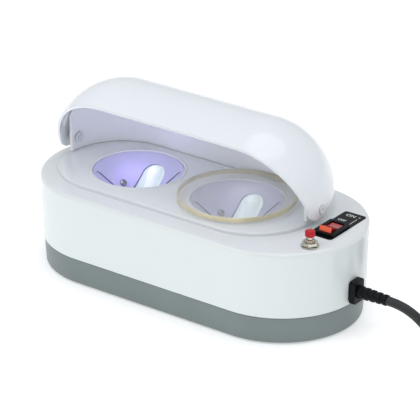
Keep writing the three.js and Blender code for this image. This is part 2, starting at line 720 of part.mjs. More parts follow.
const WIRE = 0.9;
const LAMP_LEADS = {
  left: [[-46.4, 6, 14.5], [-42, 7.5, 15], [-36, 11, 15.5], [-31, 15.5, 14], [-29.6, 20.6, 10.8]],
  right: [[18.4, 6, 14.5], [14, 7, 15.5], [9, 11, 16], [4, 15, 14.5], [2.5, 18.5, 10.8]],
};
for (const [side, points] of Object.entries(LAMP_LEADS)) {
  piece(`lamp_lead_${side}`, rod(points, WIRE, 6, 9), wire);
}
const MAINS_WIRES = {
  switch_wire: [[96.4, -2.5, 27.8], [89, -2.6, 29], [87, -2, 34], [91.5, -1.2, 40], [98.8, -1, 42]],
  neutral_wire: [[96.4, 2.5, 27.8], [87, 6, 24], [62, 25, 14], [36, 37, 13], [10, 38, 13]],
  live_wire: [[98.8, 8, 42], [88, 9.5, 40], [68, 26, 24], [38, 40, 20], [10, 39.5, 16.6]],
};
for (const [name, points] of Object.entries(MAINS_WIRES)) {
  piece(name, rod(points, WIRE, 6, 12), wire);
}

// ---------------------------------------------------------------- mains lead

const NOSE = { start: 112.4, wall: 121.5, face: 126 };

function applianceConnector() {
  const block = slab(16, 11.6, NOSE.wall, NOSE.face, 2.2, 0.7);
  const nose = slab(7.6, 5.6, NOSE.start, NOSE.wall + 1, 0.8);
  return alongX(block.add(nose)).translate([0, 0, INLET_Z]);
}

/** Tapered ribbed sleeve along +Z from 0 to its length. */
function sleeve(length, thick, thin, ribs) {
  const pitch = length / ribs;
  const profile = [[0, 0]];
  for (let i = 0; i < ribs; i++) {
    const radius = thick + ((thin - thick) * i) / (ribs - 1);
    const z = i * pitch;
    profile.push([radius, z], [radius, z + pitch * 0.6]);
    if (i < ribs - 1) profile.push([radius - 0.6, z + pitch * 0.6], [radius - 0.6, z + pitch]);
  }
  return turned([...profile, [0, (ribs - 0.4) * pitch]], 12);
}

const RELIEF = { length: 23, ribs: 5 };
piece('appliance_connector', applianceConnector(), black);
const relief = alongX(sleeve(RELIEF.length, 4.4, 3.7, RELIEF.ribs)).translate([NOSE.face + GAP, 0, INLET_Z]);
piece('strain_relief', relief, black);

const reliefEnd = NOSE.face + GAP + (RELIEF.length * (RELIEF.ribs - 0.4)) / RELIEF.ribs;
const LEAD = [
  [reliefEnd + GAP, 0, INLET_Z],
  [154, 0, 27.4],
  [160.5, 0.4, 25.9],
  [166.6, 1.2, 22.9],
  [171.9, 2.2, 18.8],
  [176.4, 3.2, 14.2],
  [181.2, 4.3, 9.7],
  [186.6, 5.4, 6.1],
  [190.5, 6.2, 4.3],
];
const TAIL = [
  [254.3, 85, 6],
  [253.6, 92, 3.9],
  [250.6, 100, 2.4],
  [244.9, 106.6, 2.1],
  [237, 111, 2.2],
  [228, 112.5, 2.5],
  [215, 112.5, 3.4],
  [203, 112.5, 4.9],
  [192.5, 112.5, 5.9],
];
piece('power_cord', rod(LEAD, CORD.radius, CORD.sides, 12), rubber);
piece('cord_tail', rod(TAIL, CORD.radius, CORD.sides, 14), rubber);
const coilLow = 0.2 - FOOT_DROP;
const coil = turned([
  [COIL.inner, coilLow + 1],
  [COIL.inner + 1, coilLow],
  [COIL.outer - 1, coilLow],
  [COIL.outer, coilLow + 1],
  [COIL.outer, coilLow + COIL.height / 2],
  [COIL.outer - 2.5, coilLow + COIL.height],
  [COIL.inner + 1.5, coilLow + COIL.height],
], 28);
piece('cord_coil', coil.translate([COIL.x, COIL.y, 0]), rubber);

const PLUG = { at: [192.2, 112.5, 5.9], heading: [-1, 0], sleeve: 16, length: 35, width: 33, tall: 13.4 };
const CONTACT = { radius: 2, length: 19, spacing: 18.6 };

/** A body made along +X from the cord's end, put at the plug's place and heading. */
const inPlug = (body) =>
  body.rotate([0, 0, Math.atan2(PLUG.heading[1], PLUG.heading[0]) / RAD]).translate(PLUG.at);

function plugBody() {
  const outline = new THREE.Shape();
  const [near, far, side] = [PLUG.sleeve, PLUG.sleeve + PLUG.length, PLUG.width / 2];
  outline.moveTo(near, -5);
  outline.lineTo(near + 12, -side);
  outline.lineTo(far - 4, -side);
  outline.quadraticCurveTo(far, -side, far, -side + 4);
  outline.lineTo(far, side - 4);
  outline.quadraticCurveTo(far, side, far - 4, side);
  outline.lineTo(near + 12, side);
  outline.lineTo(near, 5);
  const body = extruded(outline, -PLUG.tall / 2, PLUG.tall / 2, { bevel: 1, curveSegments: 4 });
  const reliefSleeve = alongX(sleeve(PLUG.sleeve + 4, 3.5, 4.6, 4));
  return inPlug(body.add(reliefSleeve));
}

function plugPin(side) {
  const start = PLUG.sleeve + PLUG.length + 1 + GAP;
  const pin = alongX(turned([
    [0, 0],
    [CONTACT.radius, 0],
    [CONTACT.radius, CONTACT.length - 1.2],
    [CONTACT.radius - 1, CONTACT.length],
    [0, CONTACT.length],
  ], 12)).translate([start, 0, 0]);
  return inPlug(pin.translate([0, side * CONTACT.spacing / 2, 0]));
}

piece('mains_plug', plugBody(), black);
piece('plug_pin_1', plugPin(-1), nickel);
piece('plug_pin_2', plugPin(1), nickel);

export default cabinet;
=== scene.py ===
"""UV sterilizer cabinet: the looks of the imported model.

Sizes are in millimetres, and heights are counted from the underside of the tray. build() turns them into
metres in the row frame, whose floor is under the feet."""

import math

import bmesh
import bpy
from mathutils import Matrix, Vector


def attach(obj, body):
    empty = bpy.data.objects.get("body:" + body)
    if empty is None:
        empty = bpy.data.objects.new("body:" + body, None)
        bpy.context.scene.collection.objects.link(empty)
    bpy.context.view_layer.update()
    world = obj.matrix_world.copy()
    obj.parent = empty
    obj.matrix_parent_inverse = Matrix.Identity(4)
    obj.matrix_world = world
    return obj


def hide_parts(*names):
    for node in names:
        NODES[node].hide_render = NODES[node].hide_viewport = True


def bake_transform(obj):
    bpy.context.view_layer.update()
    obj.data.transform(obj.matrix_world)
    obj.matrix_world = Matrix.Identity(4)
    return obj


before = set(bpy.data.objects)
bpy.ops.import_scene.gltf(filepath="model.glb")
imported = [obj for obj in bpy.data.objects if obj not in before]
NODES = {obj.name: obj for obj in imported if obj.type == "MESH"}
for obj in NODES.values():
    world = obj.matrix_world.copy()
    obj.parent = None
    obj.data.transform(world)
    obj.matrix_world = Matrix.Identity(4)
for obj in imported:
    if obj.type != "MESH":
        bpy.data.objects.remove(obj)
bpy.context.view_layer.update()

MM = 0.001
LIFT = 1.2  # the feet raise the tray by this much

# ---------------------------------------------------------------- driving dimensions

GAP = 0.3
BODY = {"half": 64, "foot": 56, "seam": 57, "shoulder": 58, "wall": 2.4}
SEAM_Z, LEDGE_Z, EDGE = 18.2, 64.3, 3
TRAY = {"inset": 0.7, "floor": 2.5, "skin": 3.6, "lip": 4, "lip_skin": 1.8}
POSTS = ((-90, -36), (-90, 36), (80, -40), (80, 40))
POST = {"radius": 4, "foot": 3.2}
SINK = ((3.4, -1), (3.4, 1.3), (1.8, 1.3), (1.8, 5))  # radius and height round each tray screw
FEET = ((-68, -42), (-68, 42), (64, -42), (64, 42))
FOOT_SEAT = {"radius": 6.4, "deep": 0.8}
VENT = {"x": -12, "y": -16, "width": 3, "length": 22, "pitch": 7, "each_side": 2}
DECK = {"x": -12, "half": 55.5, "radius": 43, "z": 66.8, "round": 1.2, "plate": 2.5}
WELL_X = {"left": -53, "right": 29}
WELL = {"mouth": 30.4, "hole": 31.1, "depth": 26, "floor": 4.9, "skin": 1.4, "flange": 34}
LIP = {"outer": 33.2, "rise": 0.8}
HOOD = {"x": -11.5, "half": 54.5, "radius": 50.5, "skin": 2}
PIVOT = {"y": 3.4, "z": 76, "radius": 2}
HINGE_BORE = (-130, 110)  # through both ears and both ends of the rear shell
EAR, EAR_ROUND, HOOD_BACK, OPEN_ANGLE = 11, 9, 6, 67
SHELL = {"outer": 42.8, "inner": 40.4, "dome_outer": 47.5, "dome_inner": 45.1, "front": -3}
STOP = {"x": (-60, 37), "y": 46.7, "width": 8, "length": 9.8, "z": (83, 88.4)}
TAB = {"x": (-56, -12, 32), "half": 4, "y": (40.7, 42.3), "z": (61, 70), "play": 0.35}
FAR = 150  # past the end of every piece but the lead
LAMP = {"radius": 6, "dome": (-2, 22, -11.8), "tilt": 22, "glass": 28}
WINDOW = {"x": -1.7, "width": 16.5, "top": 5.6, "bottom": 22.5}
SLOT = {"angle": 35, "width": 8, "from": 2, "to": 15, "deep": 0.7}
SCREW = {"angle": 170, "depth": 15}
COVER = {"x": 29, "radius": 39.8, "thick": 3.8}
SWITCH = {
    "x": 102.2, "y": 1.9, "bezel": (15, 21), "case": (12.6, 18.6), "opening": (6.6, 9.6), "bottom": 48,
    "floor": 57,
}
ROCKER = {"size": (9, 15.4), "rock": 15, "edge": 2.1, "crown": 2.5, "dip": 0.2, "play": (0.6, 1.3)}
LABEL = {"x": (93.8, 110.2), "y": (-11.2, 31.6), "thick": 0.5, "pocket": 0.5, "corner": 2}
LABEL_CENTRE = (sum(LABEL["x"]) / 2, sum(LABEL["y"]) / 2)
LABEL_SIZE = (LABEL["x"][1] - LABEL["x"][0], LABEL["y"][1] - LABEL["y"][0])
BUTTON = {"x": 104.1, "y": -26, "hole": 3.5, "thread": 3.15, "plunger": 2.3}
WASHER = {"radius": 5.9, "top": 0.8}
NUT = {"radius": 5.5, "bottom": 1.1, "top": 3.2}
BARREL = {"radius": 5.4, "bore": 2.7, "top": -2.8, "floor": -13.3, "bottom": -14.5}
SPRING = {"low": -12.6, "high": -8.7, "radius": 1.7, "wire": 0.3, "turns": 4}
INLET_Z = 27.8
INLET_HOLE = (5.2, 5.7)
NOSE = {"start": 112.4, "wall": 121.5, "face": 126}
RELIEF = {"length": 23, "ribs": 5, "thick": 4.4, "thin": 3.7}
CORD_RADIUS = 3.1
COIL = {"x": 212, "y": 54, "outer": 45.7, "inner": 26.6, "last": 42.3}
LABEL_TOP = LEDGE_Z - LABEL["pocket"] + GAP + LABEL["thick"]
BEZEL_TOP = LABEL_TOP + GAP + 1.7
ROCKER_AXIS = LABEL_TOP + 0.6

# ---------------------------------------------------------------- camera

AZIMUTH, ELEVATION, ROLL = math.radians(35.95), math.radians(24.86), math.radians(0.20)
DISTANCE, ASIDE, ABOVE = 1624.55, 5.75, 46.38
LENS, SENSOR = 205.7, 36


def make_camera():
    back = Vector((
        math.sin(AZIMUTH) * math.cos(ELEVATION),
        -math.cos(AZIMUTH) * math.cos(ELEVATION),
        math.sin(ELEVATION),
    ))
    right = Vector((math.cos(AZIMUTH), math.sin(AZIMUTH), 0))
    up = back.cross(right)
    cos, sin = math.cos(ROLL), math.sin(ROLL)
    right, up = right * cos + up * sin, up * cos - right * sin
    place = back * DISTANCE + right * ASIDE + up * ABOVE + Vector((0, 0, LIFT))
    data = bpy.data.cameras.new("camera")
    data.lens, data.sensor_width = LENS, SENSOR
    data.clip_start, data.clip_end = 0.1, 20
    camera = bpy.data.objects.new("camera", data)
    bpy.context.scene.collection.objects.link(camera)
    basis = Matrix((right, up, back)).transposed().to_4x4()
    camera.matrix_world = Matrix.Translation(place * MM) @ basis
    bpy.context.scene.camera = camera


make_camera()

# ---------------------------------------------------------------- materials


def surface(
    name, color, rough=0.4, metal=0.0, vary=0.03, vary_size=25, grain=900, bump=0.03,
    rough_vary=0.06, edge=0.35, emission=None, strength=0.0, coat=0.0, subsurface=0.0, specular=0.5,
):
    """Moulded or plated finish: slow colour drift, uneven gloss, fine grain, softened edges."""
    mat = bpy.data.materials.new(name)
    mat.use_nodes = True
    nodes, links = mat.node_tree.nodes, mat.node_tree.links
    shader = nodes["Principled BSDF"]
    coords = nodes.new("ShaderNodeTexCoord").outputs["Object"]

    def noise(scale, detail):
        node = nodes.new("ShaderNodeTexNoise")
        node.inputs["Scale"].default_value = scale
        node.inputs["Detail"].default_value = detail
        links.new(coords, node.inputs["Vector"])
        return node.outputs["Fac"]

    ramp = nodes.new("ShaderNodeValToRGB")
    dark = [c * (1 - vary) for c in color]
    light = [min(1, c * (1 + vary)) for c in color]
    ramp.color_ramp.elements[0].position, ramp.color_ramp.elements[1].position = 0.35, 0.65
    ramp.color_ramp.elements[0].color = (*dark, 1)
    ramp.color_ramp.elements[1].color = (*light, 1)
    links.new(noise(vary_size, 3), ramp.inputs["Fac"])
    links.new(ramp.outputs["Color"], shader.inputs["Base Color"])
    spread = nodes.new("ShaderNodeMapRange")
    spread.inputs["To Min"].default_value = max(0.02, rough - rough_vary)
    spread.inputs["To Max"].default_value = rough + rough_vary
    links.new(noise(vary_size * 4, 5), spread.inputs["Value"])
    links.new(spread.outputs["Result"], shader.inputs["Roughness"])
    relief = nodes.new("ShaderNodeBump")
    relief.inputs["Strength"].default_value = bump
    relief.inputs["Distance"].default_value = 0.0002
    links.new(noise(grain, 2), relief.inputs["Height"])
    if edge:
        soft = nodes.new("ShaderNodeBevel")
        soft.samples = 4
        soft.inputs["Radius"].default_value = edge * MM
        links.new(soft.outputs["Normal"], relief.inputs["Normal"])
    links.new(relief.outputs["Normal"], shader.inputs["Normal"])
    shader.inputs["Metallic"].default_value = metal
    shader.inputs["Coat Weight"].default_value = coat
    shader.inputs["Subsurface Weight"].default_value = subsurface
    shader.inputs["Subsurface Scale"].default_value = 0.003
    shader.inputs["Specular IOR Level"].default_value = specular
    if emission:
        shader.inputs["Emission Color"].default_value = (*emission, 1)
        shader.inputs["Emission Strength"].default_value = strength
    return mat


WHITE = surface(
    "white", (0.76, 0.815, 0.80), 0.26, vary=0.004, vary_size=12, coat=0.35, bump=0.012,
    rough_vary=0.015,
)
# Bluer white for the faces that point up: a painted tint of the lamp light falling on them, with a
# glossier finish.
WHITE_TOP_PAINTED_TINT = surface(
    "white_top_painted_tint", (0.77, 0.80, 0.815), 0.16, vary=0.006, coat=0.4, bump=0.01, rough_vary=0.02,
)
SHELL_WHITE = surface(
    "shell_white", (0.90, 0.915, 0.92), 0.3, vary=0.008, bump=0.012, edge=0.5, rough_vary=0.02,
)
HOOD_WHITE = surface(
    "hood_white", (0.84, 0.88, 0.905), 0.24, vary=0.006, coat=0.3, bump=0.01, edge=0.7,
    rough_vary=0.02,
)
GREY = surface("grey", (0.185, 0.225, 0.22), 0.42, vary=0.04, bump=0.12, grain=1600)
# The reflectors' lilac tint is painted violet lamp glow; the right well, under the cover, gets a paler
# copy for its dimmer glow.
CUP = surface("reflector", (0.56, 0.56, 0.74), 0.42, vary=0.05, edge=0.25)
# Painted shade: dark violet for the side walls of the window, grooves and screw hole in the cups.
CUP_PAINTED_SHADE = surface("reflector_painted_shade", (0.16, 0.16, 0.28), 0.4, edge=0)
CUP_DIMMER_PAINTED_GLOW = surface("reflector_dimmer_painted_glow", (0.58, 0.585, 0.69), 0.42, vary=0.05, edge=0.25)
TUBE = surface(
    "lamp_glass", (0.80, 0.88, 0.84), 0.18, vary=0.02, emission=(0.72, 0.85, 0.80), strength=0.35,
)
CERAMIC = surface("ceramic", (0.60, 0.58, 0.52), 0.6, bump=0.1)
BLACK = surface(
    "black", (0.003, 0.004, 0.005), 0.4, vary=0.2, bump=0.12, grain=1800, edge=0.25, specular=0.16,
)
DARK = surface(
    "label_black", (0.004, 0.006, 0.006), 0.34, vary=0.15, bump=0.04, edge=0, specular=0.14,
)
PRINT = surface("white_print", (0.75, 0.77, 0.76), 0.6, bump=0.05, edge=0)
RED = surface("red_cap", (0.52, 0.006, 0.012), 0.3, vary=0.06, edge=0.2, specular=0.3)
# Lit and shaded copies of the rocker's red: painted shade on the sides, a painted sheen on the top and
# painted light glowing from the front face.
ROCKER_SHADED_SIDES = surface("rocker_shaded_red", (0.22, 0.008, 0.008), 0.25, vary=0.06, edge=0.3, specular=0.3)
ROCKER_TOP_PAINTED_SHEEN = surface("rocker_top_painted_sheen", (0.46, 0.035, 0.025), 0.16, vary=0.1, coat=0.4, edge=0.3)
ROCKER_FRONT_PAINTED_LIGHT = surface(
    "rocker_front_painted_light", (0.78, 0.12, 0.05), 0.3, vary=0.08, edge=0.3, emission=(0.85, 0.12, 0.05),
    strength=0.25,
)
NICKEL = surface("nickel", (0.62, 0.59, 0.50), 0.2, 1.0, vary=0.08, bump=0.03, edge=0.15)
STEEL = surface("steel", (0.42, 0.43, 0.45), 0.32, 1.0, vary=0.1, bump=0.05, edge=0.12)
BRASS = surface("brass", (0.60, 0.42, 0.14), 0.3, 1.0, vary=0.1, edge=0.1)
RUBBER = surface("rubber", (0.016, 0.018, 0.018), 0.55, vary=0.15, bump=0.15, grain=1500, edge=0)
BOARD_GREEN = surface("board", (0.02, 0.11, 0.045), 0.4, vary=0.15, bump=0.1)
FERRITE = surface("ferrite", (0.035, 0.037, 0.042), 0.6, vary=0.2, bump=0.3)
NYLON = surface("nylon", (0.74, 0.77, 0.79), 0.35, vary=0.02, subsurface=0.1)
WIRE_RED = surface("wire", (0.30, 0.035, 0.025), 0.4, vary=0.1, edge=0)
RIM = surface("cover_edge", (0.68, 0.60, 0.36), 0.12, vary=0.2, vary_size=40, edge=0, coat=0.3)
RIM.node_tree.nodes["Principled BSDF"].inputs["Alpha"].default_value = 0.8
# The lamp pocket glows with painted lamp light, though it is no lamp.
POCKET_PAINTED_GLOW = surface(
    "lamp_pocket_painted_glow", (0.70, 0.72, 0.76), 0.4, edge=0, emission=(0.74, 0.78, 0.84), strength=0.28,
)


def clear_material():
    """Polished clear disc: see-through face on, whiter at a grazing angle."""
    mat = surface("clear", (0.86, 0.86, 0.82), 0.05, vary=0.02, bump=0.01, rough_vary=0.02, edge=0)
    nodes, links = mat.node_tree.nodes, mat.node_tree.links
    facing = nodes.new("ShaderNodeLayerWeight")
    facing.inputs["Blend"].default_value = 0.5
    gain = nodes.new("ShaderNodeMapRange")
    gain.inputs["From Min"].default_value = 0.5
    gain.inputs["To Min"].default_value = 0.10
    gain.inputs["To Max"].default_value = 0.6
    links.new(facing.outputs["Facing"], gain.inputs["Value"])
    links.new(gain.outputs["Result"], nodes["Principled BSDF"].inputs["Alpha"])
    return mat


CLEAR = clear_material()

# ---------------------------------------------------------------- mesh code


def build(name, points, faces, matrix=None, lift=LIFT):
    """Object from points in mm. Points that fall together are joined."""
    if matrix is not None:
        points = [matrix @ Vector(p) for p in points]
    mesh = bpy.data.meshes.new(name)
    mesh.from_pydata([(p[0] * MM, p[1] * MM, (p[2] + lift) * MM) for p in points], [], faces)
    bm = bmesh.new()
    bm.from_mesh(mesh)
    bmesh.ops.remove_doubles(bm, verts=bm.verts, dist=1e-7)
    bmesh.ops.recalc_face_normals(bm, faces=bm.faces)
    bm.to_mesh(mesh)
    bm.free()
    obj = bpy.data.objects.new(name, mesh)
    bpy.context.scene.collection.objects.link(obj)
    return obj


def arc(radius, start, end, steps, centre=(0, 0)):
    """Points on an arc, angles in degrees."""
    return [
        (
            centre[0] + radius * math.cos(math.radians(start + (end - start) * i / steps)),
            centre[1] + radius * math.sin(math.radians(start + (end - start) * i / steps)),
        )
        for i in range(steps + 1)
    ]


def oblong(half, radius, steps):
    """Outline of a stadium; a circle when half is 0."""
    right = arc(radius, -90, 90, steps, (half, 0))
    left = arc(radius, 90, 270, steps, (-half, 0))
    return right + left if half else right[:-1] + left[:-1]


def sweep(name, half, profile, closed=False, steps=48, matrix=None):
    """(radius, z) points swept round a stadium or circle, with flat ends or as a closed ring."""
    rings = [[(x, y, z) for x, y in oblong(half, max(r, 1e-4), steps)] for r, z in profile]
    count = len(rings[0])
    points = [p for ring in rings for p in ring]
    pairs = list(zip(range(len(rings)), range(1, len(rings))))
    if closed:
        pairs.append((len(rings) - 1, 0))
    faces = []
    for a, b in pairs:
        for i in range(count):
            j = (i + 1) % count
            faces.append((a * count + i, a * count + j, b * count + j, b * count + i))
    if not closed:
        faces.append(tuple(reversed(range(count))))
        faces.append(tuple((len(rings) - 1) * count + i for i in range(count)))
    return build(name, points, faces, matrix)


def prism(name, outline, low, high, matrix=None):
    """Outline in x and y, extruded from low to high along z."""
    count = len(outline)
    points = [(x, y, z) for z in (low, high) for x, y in outline]
    faces = [(i, (i + 1) % count, count + (i + 1) % count, count + i) for i in range(count)]
    faces += [tuple(reversed(range(count))), tuple(range(count, 2 * count))]
    return build(name, points, faces, matrix)


def block(name, low, high, matrix=None):
    """Box from one corner to the other, used to cut with or to join on."""
    outline = [(low[0], low[1]), (high[0], low[1]), (high[0], high[1]), (low[0], high[1])]
    return prism(name, outline, low[2], high[2], matrix)


def rounded(width, length, radius, steps=6, centre=(0, 0)):
    """Outline of a rectangle with rounded corners."""
    w, h = width / 2 - radius, length / 2 - radius
    points = []
    for x, y, start in ((w, -h, -90), (w, h, 0), (-w, h, 90), (-w, -h, 180)):
        points += arc(radius, start, start + 90, steps, (x + centre[0], y + centre[1]))
    return points


def combine(obj, others, operation="DIFFERENCE"):
    """Exact boolean of obj with each of the others, which are used up."""
    for other in others:
        modifier = obj.modifiers.new("cut", "BOOLEAN")
        modifier.operation, modifier.solver, modifier.object = operation, "EXACT", other
    depsgraph = bpy.context.evaluated_depsgraph_get()
    mesh = bpy.data.meshes.new_from_object(obj.evaluated_get(depsgraph))
    obj.modifiers.clear()
    old, obj.data = obj.data, mesh
    bpy.data.meshes.remove(old)
    mesh.name = obj.name
    for other in others:
        bpy.data.objects.remove(other)
    return obj


def smooth(obj, angle=32):
    """Smooth faces with sharp edges where two of them meet at more than the angle."""
    bm = bmesh.new()
    bm.from_mesh(obj.data)
    bmesh.ops.dissolve_degenerate(bm, dist=1e-6, edges=bm.edges)
    for face in bm.faces:
        face.smooth = True
    limit = math.radians(angle)
    for e in bm.edges:
        e.smooth = len(e.link_faces) == 2 and e.calc_face_angle(0) < limit
    bm.to_mesh(obj.data)
    bm.free()
    return obj


def bevel(obj, width, segments=3, angle=40):
    """Rounds the edges sharper than the angle."""
    modifier = obj.modifiers.new("bevel", "BEVEL")
    modifier.width, modifier.segments = width * MM, segments
    modifier.limit_method, modifier.angle_limit = "ANGLE", math.radians(angle)
    modifier.harden_normals = True
    return obj


def done(obj, body, material, nodes=(), slots=()):
    """Gives a finished piece its materials, its body and the CAD nodes that it stands for."""
    obj.data.materials.clear()
    for mat in (material, *slots):
        obj.data.materials.append(mat)
    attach(obj, body)
    if nodes:
        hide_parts(*nodes)
    return obj


def corner(radius, z, round_, steps=8):
    """Profile points of a rounded outer edge that ends at this radius and height."""
    return [(radius - round_ + x, z - round_ + y) for x, y in arc(round_, 0, 90, steps)]


def shifted(x, y=0, z=0):
    return Matrix.Translation((x, y, z))


ALONG_X = Matrix.Rotation(math.radians(90), 4, "Y")  # what was built along +Z lies along +X

# ---------------------------------------------------------------- housing and tray


def switch_opening():
    """Cutter for the hole that the switch drops into, through the label and the ledge."""
    w, h = SWITCH["opening"]
    x, y = SWITCH["x"], SWITCH["y"]
    return block("switch_hole", (x - w, y - h, LEDGE_Z - 8), (x + w, y + h, LEDGE_Z + 5))


def housing_shell():
    """Wall, ledge, deck and the lips round the wells, hollow inside."""
    half, wall = BODY["half"], BODY["wall"]
    outside = sweep("upper_shell", half, [
        (BODY["seam"] - 0.3, SEAM_Z + GAP),
        (BODY["seam"], SEAM_Z + GAP + 0.3),
        *corner(BODY["shoulder"], LEDGE_Z, EDGE),
    ], steps=64)
    deck_at = shifted(DECK["x"])
    deck = sweep("deck", DECK["half"], [
        (DECK["radius"], LEDGE_Z - 1),
        *corner(DECK["radius"], DECK["z"], DECK["round"], 5),
    ], steps=64, matrix=deck_at)
    combine(outside, [deck], "UNION")
    inside = sweep("inside", half, [
        (BODY["seam"] - wall, SEAM_Z - 5),
        (BODY["shoulder"] - wall, LEDGE_Z - DECK["plate"]),
    ], steps=64)
    under_radius = DECK["radius"] - DECK["plate"]
    under = sweep("under", DECK["half"], [
        (under_radius, LEDGE_Z - 6),
        (under_radius, DECK["z"] - DECK["plate"]),
    ], matrix=deck_at)
    combine(outside, [inside, under])
    lips = [
        sweep("lip", 0, [
            (LIP["outer"] + 0.5, DECK["z"] - 1),
            (LIP["outer"] + 0.5, DECK["z"]),
            (LIP["outer"] - 0.1, DECK["z"] + 0.25),
            (LIP["outer"] - 0.5, DECK["z"] + LIP["rise"] * 0.8),
            (LIP["outer"] - 1, DECK["z"] + LIP["rise"]),
        ], matrix=shifted(x), steps=64)
        for x in WELL_X.values()
    ]
    return combine(outside, lips, "UNION")


def housing_cutters():
    """The openings: wells, label, switch, button, inlet and the rear shell's tabs."""
    cutters = [
        sweep("hole", 0, [
            (WELL["hole"], DECK["z"] - 8),
            (WELL["hole"], DECK["z"] + LIP["rise"] - 0.5),
            (WELL["hole"] + 0.7, DECK["z"] + LIP["rise"] + 0.2),
            (WELL["hole"] + 0.7, DECK["z"] + 5),
        ], matrix=shifted(x), steps=64)
        for x in WELL_X.values()
    ]
    width, length = (size + 2 * GAP for size in LABEL_SIZE)
    pocket = rounded(width, length, LABEL["corner"] + GAP, centre=LABEL_CENTRE)
    cutters.append(prism("pocket", pocket, LEDGE_Z - LABEL["pocket"], LEDGE_Z + 5))
    cutters.append(switch_opening())
    cutters.append(sweep(
        "button_hole", 0, [(BUTTON["hole"], LEDGE_Z - 8), (BUTTON["hole"], LEDGE_Z + 5)],
        matrix=shifted(BUTTON["x"], BUTTON["y"]), steps=16,
    ))
    w, h = INLET_HOLE
    cutters.append(block("inlet_hole", (110, -w, INLET_Z - h), (130, w, INLET_Z + h)))
    reach = TAB["half"] + TAB["play"]
    for x in TAB["x"]:
        cutters.append(block(
            "tab_hole",
            (x - reach, TAB["y"][0] - TAB["play"], 50),
            (x + reach, TAB["y"][1] + TAB["play"], TAB["z"][1]),
        ))
    return cutters


def upper_housing():
    outside = combine(housing_shell(), housing_cutters())
    radius = POST["radius"]
    posts = [
        sweep("post", 0, [(radius, POST["foot"]), (radius, LEDGE_Z - 1)], matrix=shifted(x, y), steps=12)
        for x, y in POSTS
    ]
    combine(outside, posts, "UNION")
    smooth(outside)
    done(outside, "housing", WHITE, ["upper_housing"], [WHITE_TOP_PAINTED_TINT])
    top = (LEDGE_Z + LIFT + 0.05) * MM
    # Faces above the ledge or pointing up take the bluer white, painted with the tint of the lamp light.
    for face in outside.data.polygons:
        face.material_index = 1 if face.center.z > top or face.normal.z > 0.8 else 0


def base_tray():
    foot, seam = BODY["foot"] - TRAY["inset"], BODY["seam"] - TRAY["inset"]
    lip = BODY["seam"] - BODY["wall"] - GAP
    lip_top = SEAM_Z + TRAY["lip"]
    tray = sweep("base_shell", BODY["half"], [
        (foot - 0.8, 0),
        (foot - 0.25, 0.25),
        (foot, 0.8),
        (seam, SEAM_Z - 0.4),
        (seam - 0.4, SEAM_Z),
        (lip, SEAM_Z),
        (lip, lip_top),
        (lip - TRAY["lip_skin"], lip_top),
        (lip - TRAY["lip_skin"], SEAM_Z),
        (foot - 3, TRAY["floor"]),
    ], steps=64)
    hollow = sweep("hollow", BODY["half"], [
        (foot - TRAY["skin"], TRAY["floor"]),
        (lip - 2.2, SEAM_Z + 9),
    ], steps=64)
    cutters = [hollow]
    for x, y in POSTS:
        cutters.append(sweep("sink", 0, SINK, matrix=shifted(x, y), steps=16))
    seat = [(FOOT_SEAT["radius"], -1), (FOOT_SEAT["radius"], FOOT_SEAT["deep"])]
    for x, y in FEET:
        cutters.append(sweep("seat", 0, seat, matrix=shifted(x, y), steps=24))
    for i in range(-VENT["each_side"], VENT["each_side"] + 1):
        centre = (VENT["x"] + i * VENT["pitch"], VENT["y"])
        cutters.append(prism("vent", rounded(VENT["width"], VENT["length"], 1.4, centre=centre), -1, 4))
    combine(tray, cutters)
    smooth(tray)
    done(tray, "housing", GREY, ["base_tray"])


upper_housing()
base_tray()

# ---------------------------------------------------------------- rear shell and hood

AT_PIVOT = shifted(0, PIVOT["y"], PIVOT["z"])


def capsule(name, radius, matrix, around=48, ends=20):
    """Closed capsule about an X axis, as long as the hood."""
    angles = [math.pi / 2 * i / ends for i in range(1, ends + 1)]
    profile = [(radius * math.sin(a), -HOOD["half"] - radius * math.cos(a)) for a in angles]
    profile += [(r, -x) for r, x in reversed(profile)]
    return sweep(name, 0, profile, steps=around, matrix=matrix @ shifted(HOOD["x"]) @ ALONG_X)


def bar(name, radius, x0, x1, matrix=AT_PIVOT, steps=16):
    """Round bar along X."""
    return sweep(name, 0, [(radius, x0), (radius, x1)], steps=steps, matrix=matrix @ ALONG_X)


def side_prism(name, outline, low, high, matrix):
    """Outline in y and z, extruded along x."""
    turn = Matrix(((0, 0, 1, 0), (1, 0, 0, 0), (0, 1, 0, 0), (0, 0, 0, 1)))
    return prism(name, outline, low, high, matrix @ turn)


def rear_shell():
    """Half-barrel behind the wells, with tabs into the deck and stops for the open hood."""
    foot = DECK["z"] + GAP
    at_deck = shifted(DECK["x"])

    def wall(name, radius, low):
        return sweep(name, DECK["half"], [(radius, low), (radius, FAR)], matrix=at_deck, steps=48)

    shell = combine(wall("back_shell", SHELL["outer"], foot), [
        capsule("dome", SHELL["dome_outer"], AT_PIVOT),
    ], "INTERSECT")
    hollow = combine(wall("hollow", SHELL["inner"], foot - 9), [
        capsule("dome", SHELL["dome_inner"], AT_PIVOT),
    ], "INTERSECT")
    combine(shell, [hollow])
    combine(shell, [block("front", (-FAR, SHELL["front"], 0), (FAR, 80, FAR))], "INTERSECT")
    stops = [
        prism("stop", rounded(STOP["width"], STOP["length"], 1, centre=(x, STOP["y"])), *STOP["z"])
        for x in STOP["x"]
    ]
    half, (front, back), (low, high) = TAB["half"], TAB["y"], TAB["z"]
    tabs = [block("tab", (x - half, front, low), (x + half, back, high)) for x in TAB["x"]]
    combine(shell, stops + tabs, "UNION")
    combine(shell, [bar("bore", PIVOT["radius"] + 0.15, *HINGE_BORE)])
    smooth(shell)
    done(shell, "housing", SHELL_WHITE, ["rear_shell"])


